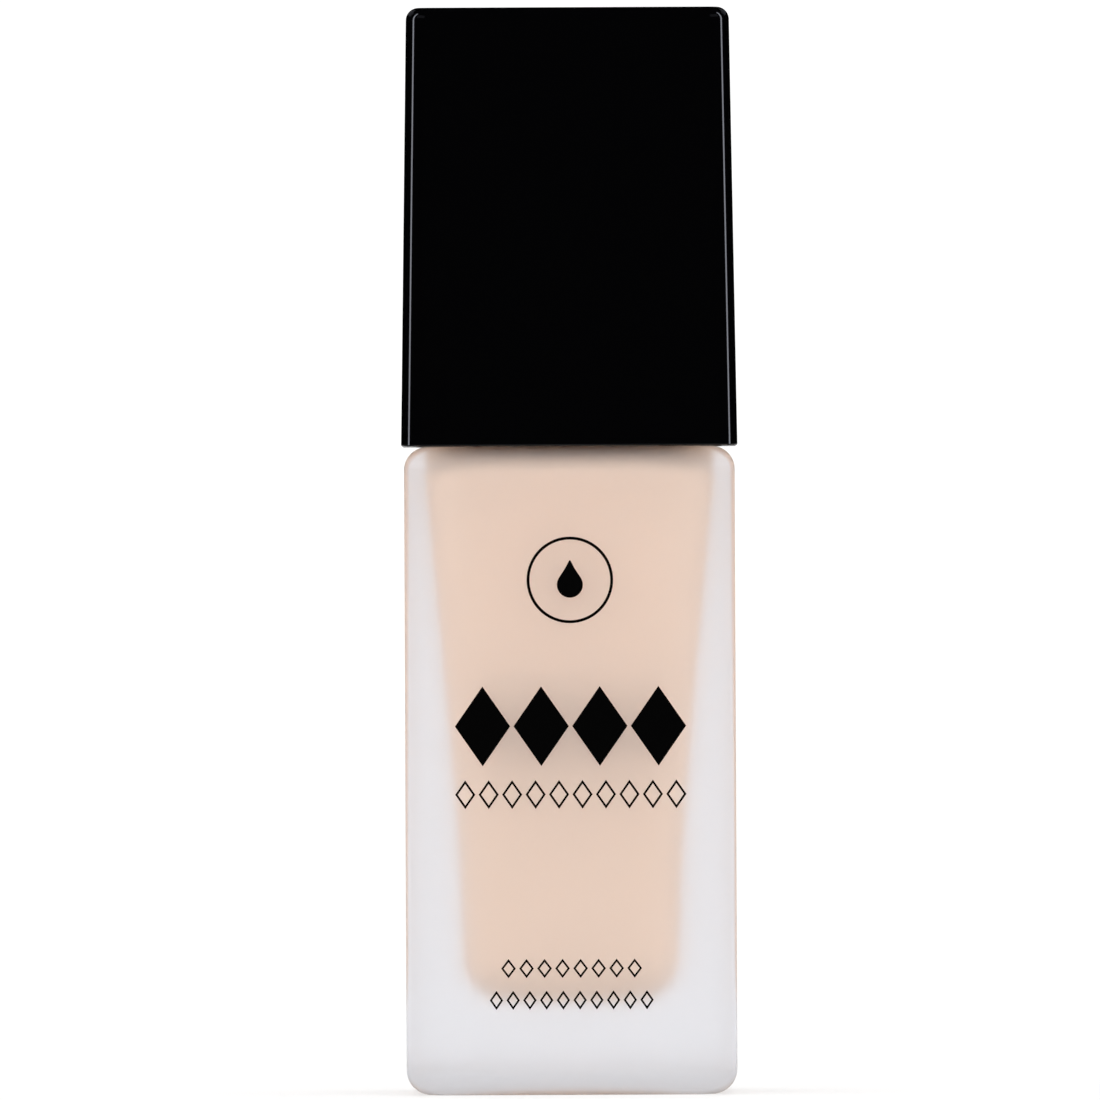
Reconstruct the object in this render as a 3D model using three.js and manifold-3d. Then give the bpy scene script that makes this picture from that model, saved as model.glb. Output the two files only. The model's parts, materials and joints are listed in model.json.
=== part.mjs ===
// A foundation bottle: square frosted glass, a lotion pump screwed on its neck, and a
// tall square overcap. Millimetres, +Z up, origin at the centre of the base.
// The bottle's front faces -Y.

import * as THREE from 'three';
import { mergeVertices } from 'three/addons/utils/BufferGeometryUtils.js';
import Module from 'manifold-3d';

// ---- Driving dimensions ----

// Glass bottle
const BODY_HALF = 17.2;
const BODY_HEIGHT = 67.5;
const BODY_CORNER = 0.6;
// The upright edges' round grows by this much for each millimetre that the body narrows
const CORNER_GROWTH = 0.8;
const SHOULDER_ROUND = 2.4;
const BASE_ROUND = 2.7;
const RECESS_HALF = 11.5;
const RECESS_DEPTH = 0.6;
const RECESS_CORNER = 3;

// Cavity in the glass, and the liquid in it
const CAVITY_FLOOR = 9.5;
const CAVITY_TOP = 66;
const CAVITY_CORNER = 7;
const CAVITY_FLOOR_ROUND = 4.6;
const CAVITY_SIDE = [[11.3, 14.1], [11.75, 25.6], [12.95, 41], [13.9, 51.6], [15.1, 64.6]];
const LIQUID_INSET = 0.25;
const FILL_LEVEL = 65.4;
const LABEL_HALF = 10.4;
const LABEL_THICK = 0.15;

// Neck and screw thread
const NECK_RADIUS = 8.75;
const NECK_BORE = 6;
const NECK_TOP = 80;
const NECK_ROOT_ROUND = 1;
const THREAD_PITCH = 3;
const THREAD_TURNS = 1.6;
const THREAD_START = 71.6;
const NECK_BEAD_PATH = 8.95;
const NECK_BEAD = 0.85;
const CLOSURE_BEAD_PATH = 9.9;
const CLOSURE_BEAD = 0.75;

// Closure and its outer sleeve, from the plane of the neck's lip
const CLOSURE_INNER = 10;
const CLOSURE_OUTER = 11.1;
const CLOSURE_BOTTOM = -11.8;
const CLOSURE_CEILING = 2.2;
const CLOSURE_DECK = 3.4;
const CLOSURE_HOLE = 6.4;
const COLLAR_INNER = 9.5;
const COLLAR_TOP = 8;
const SLEEVE_INNER = 11.2;
const SLEEVE_OUTER = 12;
const SLEEVE_TOP = 8.9;

// Pump, from the plane of the neck's lip
const GASKET_TOP = 1.05;
const FLANGE_BOTTOM = 1.1;
const FLANGE_TOP = 2.1;
const FLANGE_RADIUS = 8.4;
const RIM_TOP = 4.6;
const RIM_OUTER = 6;
const RIM_INNER = 4.9;
const BARREL_OUTER = 4.7;
const CHAMBER_RADIUS = 3.75;
const CHAMBER_FLOOR = -19;
const CAGE_RADIUS = 2.1;
const CAGE_MOUTH = 1.35;
const SEAT_BOTTOM = -24;
const SEAT_RADIUS = 0.9;
const SOCKET_TOP = -25.2;
const TAIL_BOTTOM = -33;
const TAIL_OUTER = 2.7;
const TUBE_OUTER = 1.8;
const TUBE_INNER = 1.1;
const TUBE_BOTTOM = -69.4;
const BALL_RADIUS = 1.6;
const GUIDE_OUTER = 3.4;
const GUIDE_INNER = 2.4;
const GUIDE_BOTTOM = -1.4;

// Stem, piston and spring
const STEM_OUTER = 2.25;
const STEM_BORE = 1.25;
const STEM_TOP = 15;
const STEM_FLANGE = 3.2;
const STEM_FLANGE_TOP = -1.6;
const STEM_BOTTOM = -2.6;
const PISTON_TOP = -3.5;
const PISTON_BOTTOM = -7.75;
const PISTON_LIP = 3.67;
const PISTON_WAIST = 3.2;
const PISTON_BORE = 1.6;
const PLUG_HEAD = 3.1;
const PLUG_PIN = 1.15;
const PLUG_HEAD_TOP = -7.8;
const PLUG_HEAD_BOTTOM = -9;
const SPRING_PATH = 2.7;
const SPRING_WIRE = 0.3;
const SPRING_TURNS = 6;

// Actuator, from its own lower edge
const ACTUATOR_BASE = 8.3;
const ACTUATOR_RADIUS = 9;
const ACTUATOR_HEIGHT = 16;
const ACTUATOR_WALL = 1.2;
const ACTUATOR_ROUND = 1.4;
const DISH_DEPTH = 0.7;
const SPOUT_LEVEL = 11.4;
const SPOUT_REACH = 11.3;
const SPOUT_ROOT = 3;
const SPOUT_TIP = 2.5;
const SPOUT_BORE = 2.05;
const CHANNEL_OUTER = 1.95;
const CHANNEL_BORE = 1.3;
const CORE_OUTER = 4;
const CORE_BOTTOM = 1.9;
const CORE_TOP = 13.9;
const SOCKET_BORE = 2.35;

// Overcap, from its own mouth
const MOUTH_LEVEL = 67.75;
const CAP_HEIGHT = 45.45;
const CAP_HALF_MOUTH = 17.5;
const CAP_HALF_TOP = 16.8;
const CAP_CORNER = 2.4;
const CAP_TOP_ROUND = 1.3;
const CAP_WALL = 1.5;
const LINER_INNER = 12.3;
const LINER_OUTER = 13.3;
const LINER_BOTTOM = 0.9;
const LINER_TOP = 41;
const LINER_FLANGE_HALF = 15.6;
const LINER_FLANGE_THICK = 1.2;
const WEB_REACH = 15.1;
const WEB_THICK = 1;
const CRUSH_RIBS = 6;
const CRUSH_RIB_INNER = 12.1;
const CRUSH_RIB_TOP = 18;

// Facets round a full turn, and along one rounded corner
const FINE = 36;
const MEDIUM = 28;
const COARSE = 20;
const CORNER_STEPS = 4;
const WELD = 1e-4;

const wasm = await Module();
wasm.setup();

// ---- Geometry helpers ----

/** Points of an arc in a profile, angles in degrees. */
function arc(centreX, centreY, radius, from, to, steps) {
  return Array.from({ length: steps + 1 }, (_, i) => {
    const angle = THREE.MathUtils.degToRad(from + ((to - from) * i) / steps);
    return [centreX + radius * Math.cos(angle), centreY + radius * Math.sin(angle)];
  });
}

/** A solid of revolution about Z from [radius, z] points. A ring's profile ends where it starts. */
function lathe(profile, segments) {
  const points = profile.map(([radius, z]) => new THREE.Vector2(radius, z));
  return new THREE.LatheGeometry(points, segments).rotateX(Math.PI / 2);
}

/** A ring with a rectangular section. */
function ring(inner, outer, bottom, top, segments) {
  return lathe([[inner, bottom], [outer, bottom], [outer, top], [inner, top], [inner, bottom]], segments);
}

/** A round rod along Z. */
function rod(radius, bottom, top, segments) {
  return lathe([[0, bottom], [radius, bottom], [radius, top], [0, top]], segments);
}

/** A lathe whose round section is pushed out to a rounded square. cornerOf gives the corner's
 * radius for a half-width. */
function squareLathe(profile, cornerOf) {
  const columns = 4 * (CORNER_STEPS + 1);
  const geometry = lathe(profile, columns);
  const position = geometry.getAttribute('position');
  for (let i = 0; i < position.count; i += 1) {
    const column = Math.floor(i / profile.length) % columns;
    const half = profile[i % profile.length][0];
    const corner = Math.min(cornerOf(half), half);
    const quarter = Math.floor(column / (CORNER_STEPS + 1));
    const step = column % (CORNER_STEPS + 1);
    const angle = (Math.PI / 2) * (quarter - 1 + step / CORNER_STEPS);
    const diagonal = (Math.PI / 2) * (quarter - 0.5);
    const x = Math.sign(Math.cos(diagonal)) * (half - corner) + corner * Math.cos(angle);
    const y = Math.sign(Math.sin(diagonal)) * (half - corner) + corner * Math.sin(angle);
    position.setXY(i, x, y);
  }
  return geometry;
}

/** A helix about Z whose two ends turn in or out by sink, so that a bead runs out in its wall. */
class Helix extends THREE.Curve {
  constructor(radius, pitch, turns, bottom, sink = 0) {
    super();
    Object.assign(this, { radius, pitch, turns, bottom, sink });
  }

  getPoint(t, target = new THREE.Vector3()) {
    const runOut = 0.12;
    const fade = Math.max(0, 1 - Math.min(t, 1 - t) / runOut);
    const radius = this.radius + this.sink * fade;
    const angle = 2 * Math.PI * this.turns * t;
    const z = this.bottom + this.pitch * this.turns * t;
    return target.set(radius * Math.cos(angle), radius * Math.sin(angle), z);
  }
}

/** A round wire or bead along a curve. A full circle gets two sides for each curve segment. */
function bead(curve, radius, sides, steps) {
  const section = new THREE.Shape().absarc(0, 0, radius, 0, 2 * Math.PI);
  return new THREE.ExtrudeGeometry(section, {
    curveSegments: sides / 2,
    steps,
    extrudePath: curve,
    bevelEnabled: false,
  });
}

/** A closed geometry as a solid that can be joined and cut. */
function solidOf(geometry) {
  const bare = geometry.clone();
  bare.deleteAttribute('normal');
  bare.deleteAttribute('uv');
  const welded = mergeVertices(bare, WELD);
  const index = welded.index.array;
  const kept = [];
  for (let i = 0; i < index.length; i += 3) {
    const [a, b, c] = index.slice(i, i + 3);
    if (a !== b && b !== c && c !== a) kept.push(a, b, c);
  }
  return new wasm.Manifold(new wasm.Mesh({
    numProp: 3,
    vertProperties: new Float32Array(welded.getAttribute('position').array),
    triVerts: new Uint32Array(kept),
  }));
}

/** A joined or cut solid as a geometry again. */
function geometryOf(solid) {
  const { vertProperties, triVerts } = solid.getMesh();
  const geometry = new THREE.BufferGeometry();
  geometry.setAttribute('position', new THREE.BufferAttribute(vertProperties, 3));
  geometry.setIndex(new THREE.BufferAttribute(triVerts, 1));
  geometry.computeVertexNormals();
  return geometry;
}

function join(first, ...others) {
  return others.reduce((sum, other) => sum.add(solidOf(other)), solidOf(first));
}

/** Points along the cavity's side, moved in from the glass by inset. */
function cavitySide(inset) {
  const curve = new THREE.SplineCurve(CAVITY_SIDE.map(([x, z]) => new THREE.Vector2(x - inset, z)));
  return curve.getPoints(6).map(({ x, y }) => [x, y]);
}

/** Half section of the cavity, or of what fills it up to a level. */
function cavityProfile(inset, level) {
  const [floorHalf] = CAVITY_SIDE[0];
  const [topHalf] = CAVITY_SIDE.at(-1);
  const floorRound = CAVITY_FLOOR_ROUND - inset;
  const topRound = level - CAVITY_SIDE.at(-1)[1];
  const floorCentre = CAVITY_FLOOR + CAVITY_FLOOR_ROUND;
  return [
    [0, CAVITY_FLOOR + inset],
    ...arc(floorHalf - CAVITY_FLOOR_ROUND, floorCentre, floorRound, -90, 0, 5).slice(0, -1),
    ...cavitySide(inset),
    ...arc(topHalf - inset - topRound, level - topRound, topRound, 0, 90, 3).slice(1),
    [0, level],
  ];
}

const cavityCorner = (half) => Math.min(CAVITY_CORNER, half);

/** The room that the pump takes in the liquid, in the pump's frame, open at the top. */
function pumpRoom(gap) {
  return lathe([
    [0, TUBE_BOTTOM - gap],
    [TUBE_OUTER + gap, TUBE_BOTTOM - gap],
    [TUBE_OUTER + gap, TAIL_BOTTOM - gap],
    [TAIL_OUTER + gap, TAIL_BOTTOM - gap],
    [TAIL_OUTER + gap, -25 - gap],
    [BARREL_OUTER + gap, -20 - gap],
    [BARREL_OUTER + gap, 0],
    [0, 0],
  ], COARSE);
}

// ---- Bottle ----

function glassBottle() {
  const bodyProfile = [
    [0, 0],
    ...arc(BODY_HALF - BASE_ROUND, BASE_ROUND, BASE_ROUND, -90, 0, 5),
    ...arc(BODY_HALF - SHOULDER_ROUND, BODY_HEIGHT - SHOULDER_ROUND, SHOULDER_ROUND, 0, 90, 5),
    [0, BODY_HEIGHT],
  ];
  const bodyCorner = (half) => BODY_CORNER + CORNER_GROWTH * (BODY_HALF - half);
  const neckProfile = [
    [0, BODY_HEIGHT - 1],
    [NECK_RADIUS + NECK_ROOT_ROUND, BODY_HEIGHT - 1],
    ...arc(NECK_RADIUS + NECK_ROOT_ROUND, BODY_HEIGHT + NECK_ROOT_ROUND, NECK_ROOT_ROUND, -90, -180, 4),
    ...arc(NECK_RADIUS - 0.6, NECK_TOP - 0.6, 0.6, 0, 90, 3),
    [0, NECK_TOP],
  ];
  const thread = new Helix(NECK_BEAD_PATH, THREAD_PITCH, THREAD_TURNS, THREAD_START, -1.2);
  const recessProfile = [[0, -1], [RECESS_HALF, -1], [RECESS_HALF, RECESS_DEPTH], [0, RECESS_DEPTH]];
  return geometryOf(
    join(squareLathe(bodyProfile, bodyCorner), lathe(neckProfile, FINE), bead(thread, NECK_BEAD, 8, 32))
      .subtract(solidOf(squareLathe(cavityProfile(0, CAVITY_TOP), cavityCorner)))
      .subtract(solidOf(rod(NECK_BORE, CAVITY_TOP - 3, NECK_TOP + 1, FINE)))
      .subtract(solidOf(squareLathe(recessProfile, () => RECESS_CORNER))),
  );
}

function foundationLiquid() {
  const room = pumpRoom(0.3).translate(0, 0, NECK_TOP);
  return geometryOf(
    solidOf(squareLathe(cavityProfile(LIQUID_INSET, FILL_LEVEL), cavityCorner)).subtract(solidOf(room)),
  );
}

function baseLabel() {
  const profile = [[0, 0], [LABEL_HALF, 0], [LABEL_HALF, LABEL_THICK], [0, LABEL_THICK]];
  return squareLathe(profile, () => RECESS_CORNER - 1);
}

// ---- Overcap, from its mouth ----

/** Half-width of the cap's outer face at a height above the mouth. */
function capHalf(z) {
  return THREE.MathUtils.lerp(CAP_HALF_MOUTH, CAP_HALF_TOP, z / CAP_HEIGHT);
}

function overcapShell() {
  const edge = CAP_HEIGHT - CAP_TOP_ROUND;
  const outer = [
    [0, 0],
    [CAP_HALF_MOUTH, 0],
    ...arc(CAP_HALF_TOP - CAP_TOP_ROUND, edge, CAP_TOP_ROUND, 0, 90, 5),
    [0, CAP_HEIGHT],
  ];
  const ceiling = CAP_HEIGHT - CAP_WALL;
  const inner = [
    [0, -1],
    [capHalf(0) - CAP_WALL, -1],
    [capHalf(0) - CAP_WALL, 0],
    [capHalf(ceiling) - CAP_WALL, ceiling],
    [0, ceiling],
  ];
  const outerCorner = (half) => Math.min(CAP_CORNER, Math.max(0.6, CAP_CORNER - (CAP_HALF_TOP - half)));
  const innerCorner = (half) => Math.min(CAP_CORNER - CAP_WALL, half);
  return geometryOf(
    solidOf(squareLathe(outer, (half) => Math.min(outerCorner(half), half)))
      .subtract(solidOf(squareLathe(inner, innerCorner))),
  );
}

/** A flat web standing out from the liner's tube towards the shell. */
function linerWeb(turn) {
  const length = WEB_REACH - LINER_OUTER + 0.5;
  const web = new THREE.BoxGeometry(length, WEB_THICK, LINER_TOP - LINER_BOTTOM);
  return web.translate(WEB_REACH - length / 2, 0, (LINER_TOP + LINER_BOTTOM) / 2).rotateZ(turn);
}

/** A thin upright rib inside the liner's tube, which grips the closure's sleeve. */
function crushRib(turn) {
  const length = LINER_INNER - CRUSH_RIB_INNER + 0.5;
  const height = CRUSH_RIB_TOP - LINER_BOTTOM;
  const rib = new THREE.BoxGeometry(length, 0.6, height);
  return rib.translate(CRUSH_RIB_INNER + length / 2, 0, LINER_BOTTOM + height / 2).rotateZ(turn);
}

function overcapLiner() {
  const flangeTop = LINER_BOTTOM + LINER_FLANGE_THICK;
  const flangeProfile = [
    [0, LINER_BOTTOM],
    [LINER_FLANGE_HALF, LINER_BOTTOM],
    [LINER_FLANGE_HALF, flangeTop],
    [0, flangeTop],
  ];
  const flange = solidOf(squareLathe(flangeProfile, () => CAP_CORNER - CAP_WALL))
    .subtract(solidOf(rod(LINER_OUTER - 0.4, 0, LINER_TOP, FINE)));
  const webs = [0, 1, 2, 3].map((i) => linerWeb((i * Math.PI) / 2));
  const ribTurn = (2 * Math.PI) / CRUSH_RIBS;
  const ribs = Array.from({ length: CRUSH_RIBS }, (_, i) => crushRib((i + 0.5) * ribTurn));
  const tube = ring(LINER_INNER, LINER_OUTER, LINER_BOTTOM, LINER_TOP, FINE);
  return geometryOf(join(tube, ...webs, ...ribs).add(flange));
}

// ---- Closure, from the plane of the neck's lip ----

function screwClosure() {
  const wall = lathe([
    [CLOSURE_INNER, CLOSURE_BOTTOM],
    [CLOSURE_OUTER, CLOSURE_BOTTOM],
    [CLOSURE_OUTER, COLLAR_TOP],
    [COLLAR_INNER, COLLAR_TOP],
    [COLLAR_INNER, CLOSURE_DECK],
    [CLOSURE_HOLE, CLOSURE_DECK],
    [CLOSURE_HOLE, CLOSURE_CEILING],
    [CLOSURE_INNER, CLOSURE_CEILING],
    [CLOSURE_INNER, CLOSURE_BOTTOM],
  ], FINE);
  const start = THREAD_START - NECK_TOP - THREAD_PITCH / 2;
  const thread = new Helix(CLOSURE_BEAD_PATH, THREAD_PITCH, THREAD_TURNS, start, 0.6);
  return geometryOf(join(wall, bead(thread, CLOSURE_BEAD, 8, 32)));
}

function closureSleeve() {
  const lip = SLEEVE_TOP - 0.7;
  return lathe([
    [SLEEVE_INNER, CLOSURE_BOTTOM],
    [SLEEVE_OUTER, CLOSURE_BOTTOM],
    ...arc(SLEEVE_OUTER - 0.5, SLEEVE_TOP - 0.5, 0.5, 0, 90, 3),
    [COLLAR_INNER, SLEEVE_TOP],
    [COLLAR_INNER, lip],
    [SLEEVE_INNER, lip],
    [SLEEVE_INNER, CLOSURE_BOTTOM],
  ], FINE);
}

// ---- Pump, from the plane of the neck's lip ----

function neckGasket() {
  return ring(5.2, 8.6, 0.05, GASKET_TOP, FINE);
}

function pumpHousing() {
  const cageTop = CHAMBER_FLOOR - 0.6;
  return lathe([
    [TUBE_OUTER + 0.1, TAIL_BOTTOM],
    [TAIL_OUTER, TAIL_BOTTOM],
    [TAIL_OUTER, -25],
    [BARREL_OUTER, -20],
    [BARREL_OUTER, FLANGE_BOTTOM],
    [FLANGE_RADIUS, FLANGE_BOTTOM],
    [FLANGE_RADIUS, FLANGE_TOP],
    [RIM_OUTER, FLANGE_TOP],
    [RIM_OUTER, RIM_TOP],
    [RIM_INNER, RIM_TOP],
    [RIM_INNER, FLANGE_TOP],
    [CHAMBER_RADIUS, FLANGE_TOP],
    [CHAMBER_RADIUS, CHAMBER_FLOOR],
    [CAGE_MOUTH, CHAMBER_FLOOR],
    [CAGE_MOUTH, cageTop],
    [CAGE_RADIUS, cageTop],
    [CAGE_RADIUS, SEAT_BOTTOM + CAGE_RADIUS - SEAT_RADIUS],
    [SEAT_RADIUS, SEAT_BOTTOM],
    [SEAT_RADIUS, SOCKET_TOP],
    [TUBE_OUTER + 0.1, SOCKET_TOP],
    [TUBE_OUTER + 0.1, TAIL_BOTTOM],
  ], COARSE);
}

function housingCap() {
  const skirtTop = RIM_TOP + 0.05;
  const flangeTop = skirtTop + 0.75;
  const shoulder = 3;
  return lathe([
    [GUIDE_INNER, GUIDE_BOTTOM],
    [GUIDE_OUTER, GUIDE_BOTTOM],
    [GUIDE_OUTER, shoulder],
    [RIM_INNER - 0.1, shoulder],
    [RIM_INNER - 0.1, skirtTop],
    [RIM_OUTER, skirtTop],
    [RIM_OUTER, flangeTop],
    [GUIDE_INNER, flangeTop],
    [GUIDE_INNER, GUIDE_BOTTOM],
  ], COARSE);
}

function turretSeal() {
  return ring(GUIDE_OUTER + 0.1, RIM_INNER - 0.1, FLANGE_TOP + 0.05, FLANGE_TOP + 0.85, COARSE);
}

function dipTube() {
  return ring(TUBE_INNER, TUBE_OUTER, TUBE_BOTTOM, SOCKET_TOP - 0.1, COARSE);
}

/** The ball rests on the 45 degree seat. */
function inletBall() {
  const rest = SEAT_BOTTOM - SEAT_RADIUS + BALL_RADIUS * Math.SQRT2 + 0.06;
  return new THREE.SphereGeometry(BALL_RADIUS, 14, 10).rotateX(Math.PI / 2).translate(0, 0, rest);
}

function returnSpring() {
  const bottom = CHAMBER_FLOOR + SPRING_WIRE + 0.05;
  const top = PLUG_HEAD_BOTTOM - SPRING_WIRE - 0.05;
  const helix = new Helix(SPRING_PATH, (top - bottom) / SPRING_TURNS, SPRING_TURNS, bottom);
  return bead(helix, SPRING_WIRE, 6, SPRING_TURNS * 12);
}

function piston() {
  const lip = 0.8;
  return lathe([
    [PISTON_BORE, PISTON_BOTTOM],
    [PISTON_WAIST, PISTON_BOTTOM],
    [PISTON_LIP, PISTON_BOTTOM + 0.2],
    [PISTON_LIP, PISTON_BOTTOM + lip],
    [PISTON_WAIST, PISTON_BOTTOM + lip + 0.5],
    [PISTON_WAIST, PISTON_TOP - lip - 0.5],
    [PISTON_LIP, PISTON_TOP - lip],
    [PISTON_LIP, PISTON_TOP - 0.2],
    [PISTON_WAIST, PISTON_TOP],
    [PISTON_BORE, PISTON_TOP],
    [PISTON_BORE, PISTON_BOTTOM],
  ], COARSE);
}

function stem() {
  return lathe([
    [STEM_BORE, STEM_BOTTOM],
    [STEM_FLANGE, STEM_BOTTOM],
    [STEM_FLANGE, STEM_FLANGE_TOP],
    [STEM_OUTER, STEM_FLANGE_TOP],
    [STEM_OUTER, STEM_TOP],
    [STEM_BORE, STEM_TOP],
    [STEM_BORE, STEM_BOTTOM],
  ], COARSE);
}

/** A seat with a pin above it, which fits in the stem. Two flats on the pin let liquid past. */
function stemPlug() {
  const pinTop = 0.5;
  const nubBottom = PLUG_HEAD_BOTTOM - 1.4;
  const nub = SPRING_PATH - SPRING_WIRE - 0.2;
  const flat = 0.75;
  const body = lathe([
    [0, nubBottom],
    [nub - 0.4, nubBottom],
    [nub, PLUG_HEAD_BOTTOM - 0.6],
    [nub, PLUG_HEAD_BOTTOM],
    [PLUG_HEAD, PLUG_HEAD_BOTTOM],
    [PLUG_HEAD, PLUG_HEAD_TOP],
    [PLUG_PIN, PLUG_HEAD_TOP],
    [PLUG_PIN, pinTop],
    [0, pinTop],
  ], COARSE);
  const cutter = new THREE.BoxGeometry(4, 1, pinTop - PLUG_HEAD_TOP + 1)
    .translate(0, flat + 0.5, (pinTop + PLUG_HEAD_TOP) / 2 + 0.8);
  return geometryOf(
    solidOf(body)
      .subtract(solidOf(cutter))
      .subtract(solidOf(cutter.clone().rotateZ(Math.PI))),
  );
}

// ---- Actuator, from its lower edge, spout towards -Y ----

/** A round rod from the axis towards -Y, at the spout's level. */
function spoutRod(rootRadius, tipRadius, from, to, sides) {
  const profile = [[0, from], [rootRadius, from], [tipRadius, to], [0, to]];
  return lathe(profile, sides).rotateX(Math.PI / 2).translate(0, 0, SPOUT_LEVEL);
}

function actuatorShell() {
  const inner = ACTUATOR_RADIUS - ACTUATOR_WALL;
  const ceiling = ACTUATOR_HEIGHT - 2.0;
  const outside = lathe([
    [0, 0],
    [ACTUATOR_RADIUS, 0],
    ...arc(ACTUATOR_RADIUS - ACTUATOR_ROUND, ACTUATOR_HEIGHT - ACTUATOR_ROUND, ACTUATOR_ROUND, 0, 90, 4),
    [4, ACTUATOR_HEIGHT - DISH_DEPTH * 0.75],
    [0, ACTUATOR_HEIGHT - DISH_DEPTH],
  ], MEDIUM);
  const spout = spoutRod(SPOUT_ROOT, SPOUT_TIP, inner, SPOUT_REACH, COARSE);
  return geometryOf(
    join(outside, spout)
      .subtract(solidOf(rod(inner, -1, ceiling, MEDIUM)))
      .subtract(solidOf(spoutRod(SPOUT_BORE, SPOUT_BORE, 0, SPOUT_REACH + 1, COARSE))),
  );
}

function actuatorCore() {
  const post = rod(CORE_OUTER, CORE_BOTTOM, CORE_TOP, COARSE);
  const plateReach = ACTUATOR_RADIUS - ACTUATOR_WALL - 0.3;
  const plate = rod(plateReach, CORE_TOP - 0.9, CORE_TOP, MEDIUM);
  const channel = spoutRod(CHANNEL_OUTER, CHANNEL_OUTER, 0, SPOUT_REACH - 2.2, COARSE);
  const channelBore = spoutRod(CHANNEL_BORE, CHANNEL_BORE, 0, SPOUT_REACH, COARSE);
  const socketTop = STEM_TOP - ACTUATOR_BASE + 0.3;
  return geometryOf(
    join(post, plate, channel)
      .subtract(solidOf(rod(SOCKET_BORE, 0, socketTop, COARSE)))
      .subtract(solidOf(rod(STEM_BORE, 0, SPOUT_LEVEL, COARSE)))
      .subtract(solidOf(channelBore)),
  );
}

function nozzleInsert() {
  const from = SPOUT_REACH - 2;
  const to = SPOUT_REACH + 0.3;
  const profile = [[0.6, from], [1.9, from], [1.9, to - 0.3], [1.6, to], [0.6, to], [0.6, from]];
  return lathe(profile, COARSE).rotateX(Math.PI / 2).translate(0, 0, SPOUT_LEVEL);
}

// ---- Assembly ----

const frostedGlass = { color: 0xe6e4e6, roughness: 0.55, metalness: 0 };
const liquid = { color: 0xe4cab9, roughness: 0.35, metalness: 0 };
const paper = { color: 0xf4f2ee, roughness: 0.7, metalness: 0 };
const glossBlack = { color: 0x060606, roughness: 0.08, metalness: 0 };
const satinBlack = { color: 0x101010, roughness: 0.4, metalness: 0 };
const naturalPlastic = { color: 0xe9e9e4, roughness: 0.45, metalness: 0 };
const clearTube = { color: 0xe2e6e6, roughness: 0.3, metalness: 0 };
const elastomer = { color: 0xd8d8d4, roughness: 0.8, metalness: 0 };
const steel = { color: 0xb9bcc0, roughness: 0.25, metalness: 1 };

/** A named mesh with a material of its own. */
function piece(name, geometry, look) {
  const mesh = new THREE.Mesh(geometry, new THREE.MeshStandardMaterial(look));
  mesh.name = name;
  return mesh;
}

function bottleGroup() {
  const label = piece('base_label', baseLabel(), paper);
  label.position.z = RECESS_DEPTH - LABEL_THICK - 0.1;
  return new THREE.Group().add(
    piece('glass_bottle', glassBottle(), frostedGlass),
    piece('foundation_liquid', foundationLiquid(), liquid),
    label,
  );
}

function overcapGroup() {
  const group = new THREE.Group().add(
    piece('overcap_shell', overcapShell(), glossBlack),
    piece('overcap_liner', overcapLiner(), satinBlack),
  );
  group.position.z = MOUTH_LEVEL;
  return group;
}

function actuatorGroup() {
  const group = new THREE.Group().add(
    piece('actuator_shell', actuatorShell(), glossBlack),
    piece('actuator_core', actuatorCore(), naturalPlastic),
    piece('nozzle_insert', nozzleInsert(), satinBlack),
  );
  group.position.z = ACTUATOR_BASE;
  return group;
}

function pumpGroup() {
  const group = new THREE.Group().add(
    piece('screw_closure', screwClosure(), satinBlack),
    piece('closure_sleeve', closureSleeve(), glossBlack),
    piece('neck_gasket', neckGasket(), elastomer),
    piece('pump_housing', pumpHousing(), naturalPlastic),
    piece('housing_cap', housingCap(), naturalPlastic),
    piece('turret_seal', turretSeal(), elastomer),
    piece('dip_tube', dipTube(), clearTube),
    piece('inlet_ball', inletBall(), steel),
    piece('return_spring', returnSpring(), steel),
    piece('piston', piston(), naturalPlastic),
    piece('stem', stem(), naturalPlastic),
    piece('stem_plug', stemPlug(), naturalPlastic),
    actuatorGroup(),
  );
  group.position.z = NECK_TOP;
  return group;
}

const foundationBottle = new THREE.Group().add(bottleGroup(), pumpGroup(), overcapGroup());

export default foundationBottle;
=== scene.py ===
"""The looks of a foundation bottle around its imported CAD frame. Metres, +Z up, front towards -Y.

Profiles are lists of (half-width or radius, height) in millimetres, which MM turns into metres.
"""

import json
import math

import bmesh
import bpy
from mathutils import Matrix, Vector

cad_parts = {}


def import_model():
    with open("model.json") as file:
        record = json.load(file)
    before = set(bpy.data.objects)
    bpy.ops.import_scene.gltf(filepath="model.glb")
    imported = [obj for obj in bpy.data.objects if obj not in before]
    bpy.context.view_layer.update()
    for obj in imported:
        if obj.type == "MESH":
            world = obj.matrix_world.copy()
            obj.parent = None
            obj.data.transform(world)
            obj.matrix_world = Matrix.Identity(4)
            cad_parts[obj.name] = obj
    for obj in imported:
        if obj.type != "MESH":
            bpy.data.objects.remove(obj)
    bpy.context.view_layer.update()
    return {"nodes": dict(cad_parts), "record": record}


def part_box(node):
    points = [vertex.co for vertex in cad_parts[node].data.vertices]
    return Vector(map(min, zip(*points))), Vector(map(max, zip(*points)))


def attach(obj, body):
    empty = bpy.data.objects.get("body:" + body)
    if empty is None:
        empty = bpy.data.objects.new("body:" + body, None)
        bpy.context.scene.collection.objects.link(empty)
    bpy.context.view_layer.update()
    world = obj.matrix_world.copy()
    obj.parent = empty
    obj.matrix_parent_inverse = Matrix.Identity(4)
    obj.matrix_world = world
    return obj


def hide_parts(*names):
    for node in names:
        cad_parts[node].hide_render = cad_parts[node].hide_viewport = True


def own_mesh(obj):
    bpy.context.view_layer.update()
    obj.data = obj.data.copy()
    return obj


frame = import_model()

MM = 0.001
NODES = frame["nodes"]

# ---- Sizes in millimetres: places come from the frame, wall sizes and rounds are the bottle's own ----


def low(node):
    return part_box(node)[0] / MM


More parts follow.
